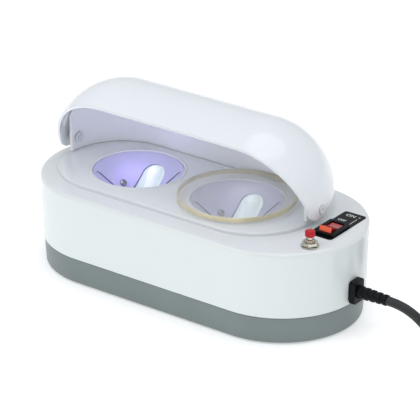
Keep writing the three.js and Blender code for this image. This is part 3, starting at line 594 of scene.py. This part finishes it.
def visor():
    """The hood, made shut and turned open about the hinge."""
    reach = HOOD["radius"] + 10
    outline = [(-reach, -EAR)]
    outline += arc(EAR_ROUND, -90, 0, 16, (HOOD_BACK - EAR_ROUND, EAR_ROUND - EAR))
    outline += [(HOOD_BACK, reach), (-reach, reach)]
    turned = AT_PIVOT @ Matrix.Rotation(-math.radians(OPEN_ANGLE), 4, "X")
    shell = capsule("visor_shell", HOOD["radius"], turned, 72, 28)
    combine(shell, [capsule("hollow", HOOD["radius"] - HOOD["skin"], turned, 72, 28)])
    combine(shell, [side_prism("side", outline, -FAR, FAR, turned)], "INTERSECT")
    combine(shell, [bar("bore", PIVOT["radius"] + 0.06, *HINGE_BORE, turned)])
    smooth(shell)
    done(shell, "visor", HOOD_WHITE, ["visor"])


rear_shell()
visor()

# ---------------------------------------------------------------- lamp wells

ROOT2 = math.sqrt(2)  # the cone is at 45 degrees, so this is the way down it for each mm of depth
SLOPE = Vector((0, math.sqrt(0.5), math.sqrt(0.5)))
SLOPE_OUT = Vector((0, math.sqrt(0.5), -math.sqrt(0.5)))


def on_cone(depth, x=0):
    """Frame on the cone's back at a depth: x across, y up the slope, z out through the wall."""
    m = Matrix((Vector((-1, 0, 0)), SLOPE, SLOPE_OUT)).transposed().to_4x4()
    return Matrix.Translation((x, WELL["mouth"] - depth, -depth)) @ m


def turn_to(angle):
    """Turns what on_cone() places to an angle round the well, from +X."""
    return Matrix.Rotation(math.radians(angle - 90), 4, "Z")


def rounded_bar(width, low, high, round_low=True):
    """Outline of a bar along y with a round top, and a round or a square foot."""
    r = width / 2
    points = arc(r, 0, 180, 20, (0, high - r))
    if round_low:
        return points + arc(r, 180, 360, 20, (0, low + r))
    return points + [(-r, low), (r, low)]


def reflector_cup(side, well):
    mouth, floor, depth, skin = (WELL[k] for k in ("mouth", "floor", "depth", "skin"))
    seat = -DECK["plate"] - GAP
    cup = sweep(f"well_{side}", 0, [
        (floor - 0.8, -depth),
        (floor, -depth + 0.4),
        (mouth - 0.8, -1.3),
        (mouth - 0.25, -0.6),
        (mouth, -0.25),
        (mouth + 0.5, -0.2),
        (mouth + 0.5, seat),
        (WELL["flange"], seat),
        (WELL["flange"], seat - skin),
        (mouth + skin * ROOT2 + seat - skin, seat - skin),
        (floor + 0.6, -depth - skin),
    ], matrix=well, steps=64)
    arch = rounded_bar(WINDOW["width"], -WINDOW["bottom"] * ROOT2, -WINDOW["top"] * ROOT2, False)
    cutters = [prism("arch", arch, -5, 6, well @ on_cone(0, WINDOW["x"]))]
    groove = rounded_bar(SLOT["width"], -SLOT["to"] * ROOT2, -SLOT["from"] * ROOT2)
    for angle in (SLOT["angle"], SLOT["angle"] + 180):
        cutters.append(prism("groove", groove, -4, SLOT["deep"], well @ turn_to(angle) @ on_cone(0)))
    at_screw = well @ turn_to(SCREW["angle"]) @ on_cone(SCREW["depth"])
    cutters.append(sweep("screw_hole", 0, [(1.3, -3), (1.3, 4)], matrix=at_screw, steps=12))
    combine(cup, cutters)
    smooth(cup, 25)
    # The right cup takes the paler copy: painted violet glow, dimmer under the cover.
    painted_glow_copy = CUP if side == "left" else CUP_DIMMER_PAINTED_GLOW
    done(cup, "housing", painted_glow_copy, [f"reflector_cup_{side}"], [CUP_PAINTED_SHADE])
    # Painted shade: faces down in the cup that run across its wall, the sides of the window, grooves and
    # screw hole, take the dark violet.
    middle = well.to_translation() * MM
    for face in cup.data.polygons:
        away = face.center - middle
        wall = Vector((-away.x, -away.y, 0)).normalized() + Vector((0, 0, 1))
        height = (face.center.z - LIFT * MM) / MM - DECK["z"]
        inner = -depth + 1 < height < -1.5
        across = abs(face.normal.dot(wall)) < 0.7
        face.material_index = 1 if inner and across else 0


def lamp_tube(side, well):
    lean = Matrix.Rotation(-math.radians(LAMP["tilt"]), 4, "X")
    leaned = well @ Matrix.Translation(LAMP["dome"]) @ lean
    radius = LAMP["radius"]
    angles = [math.radians(a) for a in range(90, 4, -5)]
    dome = [(radius * math.sin(a), radius * math.cos(a)) for a in angles]
    profile = [(radius, -LAMP["glass"]), *dome, (0.2, radius)]
    tube = sweep(f"lamp_{side}", 0, profile, matrix=leaned, steps=24)
    done(smooth(tube), "housing", TUBE, [f"lamp_tube_{side}"])


POCKET_OUTSIDE = {"margin": 0.9, "foot": 27, "low": -6, "high": 17}
POCKET_INSIDE = {"margin": 0.05, "foot": 29, "low": -8, "high": 16}


def lamp_pocket_painted_glow(side, well):
    """White recess round the lamp, open towards the well and at its foot, behind the window."""

    def arch(margin, foot, low, high):
        width, top = WINDOW["width"] + 2 * margin, margin - WINDOW["top"] * ROOT2
        outline = rounded_bar(width, -foot * ROOT2, top, False)
        return prism("arch", outline, low, high, well @ on_cone(0, WINDOW["x"]))

    pocket = combine(arch(**POCKET_OUTSIDE), [arch(**POCKET_INSIDE)])
    outside = WELL["mouth"] + 2.05  # just past the back of the cup
    combine(pocket, [sweep("cone", 0, [
        (outside - WELL["depth"] - 4, -WELL["depth"] - 4),
        (outside + 12, 12),
    ], matrix=well, steps=64)])
    pocket.name = f"lamp_pocket_painted_glow_{side}"
    # The pocket's material glows with painted lamp light.
    done(smooth(pocket), "housing", POCKET_PAINTED_GLOW)


for side, x in WELL_X.items():
    at_well = shifted(x, 0, DECK["z"])
    reflector_cup(side, at_well)
    lamp_tube(side, at_well)
    lamp_pocket_painted_glow(side, at_well)


def cover_disc():
    low = DECK["z"] + LIP["rise"] + GAP
    high = low + COVER["thick"]
    radius = COVER["radius"]
    profile = [(radius - 1, low), *arc(1, -90, 0, 5, (radius - 1, low + 1))[1:]]
    profile += arc(1, 0, 90, 5, (radius - 1, high - 1))
    disc = sweep("cover_glass", 0, profile, matrix=shifted(COVER["x"]), steps=72)
    smooth(disc, 40)
    done(disc, "cover", CLEAR, ["cover_disc"], [RIM])
    for face in disc.data.polygons:
        face.material_index = 0 if abs(face.normal.z) > 0.97 else 1


cover_disc()

# ---------------------------------------------------------------- label, switch and button


def switch_label():
    outline = rounded(*LABEL_SIZE, LABEL["corner"], centre=LABEL_CENTRE)
    plate = prism("label_plate", outline, LABEL_TOP - LABEL["thick"], LABEL_TOP)
    combine(plate, [switch_opening()])
    done(smooth(plate), "housing", DARK, ["switch_label"])


def printed(name, body, size, x, y):
    """White letters printed on the label."""
    curve = bpy.data.curves.new(name, "FONT")
    curve.body, curve.size, curve.extrude = body, size * MM, 0.02 * MM
    curve.align_x, curve.align_y = "CENTER", "CENTER"
    curve.offset = 0.06 * MM
    text = bpy.data.objects.new(name + "_text", curve)
    bpy.context.scene.collection.objects.link(text)
    mesh = bpy.data.meshes.new_from_object(text.evaluated_get(bpy.context.evaluated_depsgraph_get()))
    bpy.data.objects.remove(text)
    mesh.transform(Matrix.Translation(Vector((x, y, LABEL_TOP + 0.04 + LIFT)) * MM))
    obj = bpy.data.objects.new(name, mesh)
    bpy.context.scene.collection.objects.link(obj)
    done(obj, "housing", PRINT)


def printed_mark():
    """The line beside the words, with a dot at the ON end."""
    top = (LABEL_TOP + 0.01, LABEL_TOP + 0.05)
    line = block("mark", (107.0, 14.2, top[0]), (107.4, 24.6, top[1]))
    dot = prism("mark_dot", arc(0.6, 0, 345, 23, (107.2, 27.4)), *top)
    tick = block("mark_tick", (106.4, 13.9, top[0]), (108.0, 14.5, top[1]))
    combine(line, [dot, tick], "UNION")
    done(line, "housing", PRINT)


def switch_body():
    at = shifted(SWITCH["x"], SWITCH["y"])
    (width, length), (side_play, end_play) = ROCKER["size"], ROCKER["play"]
    mouth = rounded(width + side_play, length + end_play, 0.6)
    bezel = prism("switch_case", rounded(*SWITCH["bezel"], 1.2), LABEL_TOP + GAP, BEZEL_TOP, at)
    combine(bezel, [prism("mouth", mouth, SWITCH["floor"], 80, at)])
    shaft = prism("shaft", rounded(*SWITCH["case"], 0.3), SWITCH["bottom"], LABEL_TOP + 0.5, at)
    combine(shaft, [prism("mouth", mouth, SWITCH["floor"], 80, at)])
    combine(bezel, [shaft], "UNION")
    combine(bezel, [bar("axle", 0.9, -7, 7, shifted(SWITCH["x"], SWITCH["y"], ROCKER_AXIS))])
    bevel(smooth(bezel), 0.35)
    done(bezel, "housing", BLACK, ["switch_body"])


def rocker():
    """The key, dished between its two ends and pressed down at the back."""
    width, length = ROCKER["size"]
    edge, crown, dip = (ROCKER[k] for k in ("edge", "crown", "dip"))
    end = length / 2
    outline = [(-end, -3), (-3, -4.6), (3, -4.6), (end, -3), (end, edge), (end - 0.5, crown)]
    for i in range(1, 16):
        t = i / 16
        y = (1 - t) ** 2 * (end - 0.5) + t ** 2 * (0.5 - end)
        outline.append((y, (1 - t) ** 2 * crown + 2 * t * (1 - t) * dip + t ** 2 * crown))
    outline += [(0.5 - end, crown), (-end, edge)]
    at = shifted(SWITCH["x"], SWITCH["y"], ROCKER_AXIS)
    at = at @ Matrix.Rotation(-math.radians(ROCKER["rock"]), 4, "X")
    key = side_prism("rocker_key", outline, -width / 2, width / 2, at)
    combine(key, [bar("pins", 0.82, -5.8, 5.8, at)], "UNION")
    smooth(key)
    bevel(key, 0.3)
    done(key, "rocker", ROCKER_SHADED_SIDES, ["rocker"], [ROCKER_FRONT_PAINTED_LIGHT, ROCKER_TOP_PAINTED_SHEEN])
    # Painted light by face: the front glows orange, the top takes the lighter red with its sheen, the
    # rest keeps the shaded red.
    for face in key.data.polygons:
        face.material_index = 1 if face.normal.y < -0.9 else 2 if face.normal.z > 0.7 else 0


switch_label()
printed("text_on", "ON", 4.6, 100.9, 26.8)
printed("text_off", "OFF", 3.4, 99.6, 17.9)
printed_mark()
switch_body()
rocker()

AT_BUTTON = shifted(BUTTON["x"], BUTTON["y"], LEDGE_Z)


def washer_and_nut():
    bore = BUTTON["thread"] + GAP
    rim, top = WASHER["radius"], WASHER["top"]
    washer = sweep("washer", 0, [
        (bore, GAP), (rim - 0.1, GAP), (rim, 0.45), (rim, top - 0.1), (rim - 0.15, top), (bore, top),
    ], closed=True, matrix=AT_BUTTON, steps=32)
    done(smooth(washer), "housing", NICKEL, ["button_washer"])
    angles = [math.radians(a) for a in range(0, 360, 60)]
    hexagon = [(NUT["radius"] * math.cos(a), NUT["radius"] * math.sin(a)) for a in angles]
    nut = prism("nut", hexagon, NUT["bottom"], NUT["top"], AT_BUTTON)
    crown = sweep("crown", 0, [(5.6, 1.0), (5.6, 2.7), (4.7, 3.3)], matrix=AT_BUTTON, steps=32)
    combine(nut, [crown], "INTERSECT")
    combine(nut, [sweep("bore", 0, [(bore, -5), (bore, 10)], matrix=AT_BUTTON, steps=24)])
    bevel(smooth(nut), 0.12, 2)
    done(nut, "housing", NICKEL, ["button_nut"])


def threaded_bushing():
    crest, inner = BUTTON["thread"], BUTTON["plunger"] + 0.08
    root, top, pitch = crest - 0.3, 5.1, 0.45
    profile = [(inner, top), (inner + 0.15, 5.2)]
    for i in range(12):
        z = top - i * pitch
        profile += [(root, z), (crest, z - 0.22)]
    radius, bore, bottom = BARREL["radius"], BARREL["bore"], BARREL["bottom"]
    profile += [(root, -0.4), (crest, -2.7), (radius, BARREL["top"]), (radius, bottom)]
    profile += [(bore, bottom), (bore, -4), (inner, -4)]
    bushing = sweep("bushing", 0, profile, closed=True, matrix=AT_BUTTON, steps=32)
    base = sweep("base", 0, [(4, bottom), (4, BARREL["floor"])], matrix=AT_BUTTON, steps=24)
    combine(bushing, [base], "UNION")
    done(smooth(bushing), "housing", NICKEL, ["button_bushing"])


def plunger_and_cap():
    radius = BUTTON["plunger"]
    plunger = sweep("plunger", 0, [
        (2.2, -8), (radius, -7.8), (radius, 6.5), (2.1, 6.8), (1.3, 6.8), (1.3, 9.1),
    ], matrix=AT_BUTTON, steps=24)
    done(smooth(plunger), "button", NICKEL, ["button_plunger"])
    cap = sweep("cap", 0, [
        (1.6, 7.1), (3.0, 7.1), (3.25, 7.25), (3.35, 7.5), (3.35, 10.0), (3.28, 10.35), (3.05, 10.7),
        (2.6, 10.88), (1.8, 10.96), (0.6, 11),
    ], matrix=AT_BUTTON, steps=32)
    combine(cap, [sweep("socket", 0, [(1.6, 0), (1.6, 9.4)], matrix=AT_BUTTON, steps=16)])
    done(smooth(cap, 40), "button", RED, ["button_cap"])


def button_spring(around=8, steps=16):
    """Coil spring between the barrel's floor and the plunger."""
    low, high, thick = SPRING["low"], SPRING["high"], SPRING["wire"]
    count = SPRING["turns"] * steps
    points, faces = [], []
    for i in range(count + 1):
        angle = 2 * math.pi * i / steps
        out = Vector((math.cos(angle), math.sin(angle), 0))
        rise = low + (high - low) * i / count
        for k in range(around):
            turn = 2 * math.pi * k / around
            reach = SPRING["radius"] + thick * math.cos(turn)
            points.append(out * reach + Vector((0, 0, rise + thick * math.sin(turn))))
    for i in range(count):
        for k in range(around):
            a, b = i * around + k, i * around + (k + 1) % around
            faces.append((a, b, b + around, a + around))
    faces += [tuple(range(around)), tuple(count * around + k for k in range(around))]
    wire = smooth(build("spring", points, faces, AT_BUTTON), 60)
    wire.data.materials.append(STEEL)
    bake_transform(wire)
    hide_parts("button_spring")


washer_and_nut()
threaded_bushing()
plunger_and_cap()
button_spring()

# ---------------------------------------------------------------- connector, strain relief and plug

AT_INLET = shifted(0, 0, INLET_Z)


def ribbed(name, length, thick, thin, ribs, matrix):
    """Tapered strain relief along +Z from 0, with rounded ribs."""
    pitch = length / ribs
    profile = []
    for i in range(ribs):
        radius = thick + (thin - thick) * i / (ribs - 1)
        z = i * pitch
        profile += [(radius - 0.25, z + 0.02), (radius, z + 0.3), (radius, z + pitch * 0.6 - 0.3)]
        profile += [(radius - 0.25, z + pitch * 0.6)]
        if i < ribs - 1:
            profile += [(radius - 0.75, z + pitch * 0.66), (radius - 0.75, z + pitch * 0.94)]
    return sweep(name, 0, profile, matrix=matrix, steps=24)


def connector():
    at = AT_INLET @ ALONG_X
    body = prism("connector", rounded(16, 11.6, 2.2), NOSE["wall"], NOSE["face"], at)
    nose = prism("nose", rounded(7.6, 5.6, 0.8), NOSE["start"], NOSE["wall"] + 1, at)
    combine(body, [nose], "UNION")
    bevel(smooth(body), 0.6)
    done(body, "housing", BLACK, ["appliance_connector"])
    at = AT_INLET @ shifted(NOSE["face"] + GAP) @ ALONG_X
    thick, thin = RELIEF["thick"], RELIEF["thin"]
    relief = ribbed("relief", RELIEF["length"], thick, thin, RELIEF["ribs"], at)
    done(smooth(relief), "housing", BLACK, ["strain_relief"])


connector()

# ---------------------------------------------------------------- mains lead

RELIEF_END = NOSE["face"] + GAP + RELIEF["length"] * (RELIEF["ribs"] - 0.4) / RELIEF["ribs"]
FLOOR_Z = CORD_RADIUS - LIFT + 0.1
LEAD = [
    (RELIEF_END + GAP, 0, INLET_Z), (154, 0, 27.4), (160.5, 0.4, 25.9), (166.6, 1.2, 22.9),
    (171.9, 2.2, 18.8), (176.4, 3.2, 14.2), (181.2, 4.3, 9.7), (186.6, 5.4, 6.1), (190.5, 6.2, 4.3),
    (197.5, 7.4, 2.5), (204.5, 8.1, FLOOR_Z),
]
PITCH = 2 * CORD_RADIUS
TAIL = [
    (254.4, 62, FLOOR_Z + PITCH), (254.5, 70, FLOOR_Z + PITCH), (254.4, 78, 7.5), (254.3, 85, 6),
    (253.6, 92, 3.9), (250.6, 100, 2.4), (244.9, 106.6, 2.1), (237, 111, 2.2), (228, 112.5, 2.5),
    (215, 112.5, 3.4), (203, 112.5, 4.9), (192.5, 112.5, 5.9),
]


def eased(t, start, end):
    """0 before start, 1 after end, and a smooth rise between them."""
    t = min(1, max(0, (t - start) / (end - start)))
    return t * t * (3 - 2 * t)


def coil_turns(steps=24, inward=3, outward=2.25):
    """Three rounds inwards on the table, then a climb and two and a quarter back out on top."""
    points = []
    for i in range(int(steps * (inward + outward)) + 1):
        t = i / steps
        if t < inward:
            radius = COIL["outer"] + (COIL["inner"] - COIL["outer"]) * t / inward
        else:
            radius = COIL["inner"] + (COIL["last"] - COIL["inner"]) * (t - inward) / outward
        angle = math.radians(-90 + 360 * t)
        rise = eased(t, inward - 0.15, inward + 0.25) * PITCH
        points.append((
            COIL["x"] + radius * math.cos(angle),
            COIL["y"] + radius * math.sin(angle),
            FLOOR_Z + rise,
        ))
    return points


def catmull_rom(points, steps=6):
    """Smooth line through the points."""
    ends = [points[0] * 2 - points[1], *points, points[-1] * 2 - points[-2]]
    smooth_line = []
    for a, b, c, d in zip(ends, ends[1:], ends[2:], ends[3:]):
        for i in range(steps):
            t = i / steps
            square, cube = 2 * a - 5 * b + 4 * c - d, 3 * b - a - 3 * c + d
            smooth_line.append(0.5 * (2 * b + (c - a) * t + square * t * t + cube * t ** 3))
    return smooth_line + [points[-1]]


def mains_lead():
    route = [Vector(p) for p in LEAD + coil_turns() + TAIL]
    line = [(p + Vector((0, 0, LIFT))) * MM for p in catmull_rom(route)]
    curve = bpy.data.curves.new("mains_lead", "CURVE")
    curve.dimensions, curve.bevel_depth, curve.bevel_resolution = "3D", CORD_RADIUS * MM, 5
    curve.use_fill_caps = True
    spline = curve.splines.new("POLY")
    spline.points.add(len(line) - 1)
    for point, place in zip(spline.points, line):
        point.co = (*place, 1)
    spline.use_smooth = True
    lead = bpy.data.objects.new("mains_lead", curve)
    bpy.context.scene.collection.objects.link(lead)
    done(lead, "housing", RUBBER, ["power_cord", "cord_tail", "cord_coil"])


mains_lead()

# ---------------------------------------------------------------- CAD nodes that stay

KEPT = {
    "foot_": RUBBER, "tray_screw_": STEEL, "pivot_": NYLON, "retaining_clip_": NYLON,
    "cup_screw_": STEEL, "lamp_base_": CERAMIC, "lamp_socket_": BLACK, "switch_terminal_": BRASS,
    "power_inlet": BLACK, "driver_board": BOARD_GREEN, "board_screw_": STEEL, "choke": FERRITE,
    "electrolytic_capacitor": BLACK, "terminal_block": GREY, "lamp_lead_": WIRE_RED,
    "switch_wire": WIRE_RED, "neutral_wire": RUBBER, "live_wire": WIRE_RED, "mains_plug": BLACK,
    "plug_pin_": NICKEL,
}
EDGES = {
    "mains_plug": 0.5, "plug_pin_": 0.2, "cup_screw_": 0.1, "power_inlet": 0.2, "terminal_block": 0.3,
}
USUAL_EDGE = 0.15

for name, node in NODES.items():
    for start, material in KEPT.items():
        if name.startswith(start):
            node.data.materials.clear()
            node.data.materials.append(material)
            bevel(node, EDGES.get(start, USUAL_EDGE), 2)

# ---------------------------------------------------------------- floor and lights

CENTRE = Vector((0, 0, 0.06))
VIOLET, PALE_VIOLET = (0.46, 0.36, 1.0), (0.88, 0.88, 1.0)
VIOLET_POWER = {"left": 0.0045, "right": 0.001}


def floor():
    reach = 6000
    corners = [(-reach, -reach, 0), (reach, -reach, 0), (reach, reach, 0), (-reach, reach, 0)]
    plane = build("floor", corners, [(0, 1, 2, 3)], lift=0)
    mat = surface(
        "floor", (0.90, 0.905, 0.91), 0.6, vary=0.004, vary_size=3, bump=0.01, edge=0,
        emission=(1, 1, 1), strength=0.38,
    )
    plane.data.materials.append(mat)


def area_light(name, place, size, power, color=(1, 1, 1)):
    """Round soft light aimed at the middle of the housing. Its place and size are in metres."""
    data = bpy.data.lights.new(name, "AREA")
    data.shape, data.size, data.energy, data.color = "DISK", size, power, color
    light = bpy.data.objects.new(name, data)
    bpy.context.scene.collection.objects.link(light)
    light.location = place
    light.rotation_euler = (CENTRE - Vector(place)).to_track_quat("-Z", "Y").to_euler()


def glow(name, place, power, color, radius):
    """Lamp light: a soft ball that doesn't show in glossy surfaces."""
    data = bpy.data.lights.new(name, "POINT")
    data.energy, data.color, data.shadow_soft_size = power, color, radius * MM
    light = bpy.data.objects.new(name, data)
    light.visible_glossy = False
    bpy.context.scene.collection.objects.link(light)
    light.location = Vector((place[0], place[1], place[2] + LIFT)) * MM


floor()
area_light("key", (-0.7, -1.3, 1.5), 1.1, 7.0)
area_light("edge", (0.4, -0.55, 1.45), 0.3, 1.6)
area_light("top", (0.2, 0.3, 1.9), 1.6, 8.9, (0.99, 0.985, 1.0))
area_light("fill", (1.5, -0.4, 0.8), 1.2, 0.3, (0.96, 0.98, 1.0))
for side, x in WELL_X.items():
    glow(f"violet_{side}", (x - 8, 8, DECK["z"] - 3), VIOLET_POWER[side], VIOLET, 5)
    glow(f"lamp_{side}", (x, 6, DECK["z"] + 14), 0.0055, PALE_VIOLET, 12)

world = bpy.data.worlds.new("world")
bpy.context.scene.world = world
world.use_nodes = True
background = world.node_tree.nodes["Background"]
background.inputs["Color"].default_value = (0.94, 0.96, 1.0, 1)
background.inputs["Strength"].default_value = 0.6
bpy.context.scene.view_settings.view_transform = "Standard"
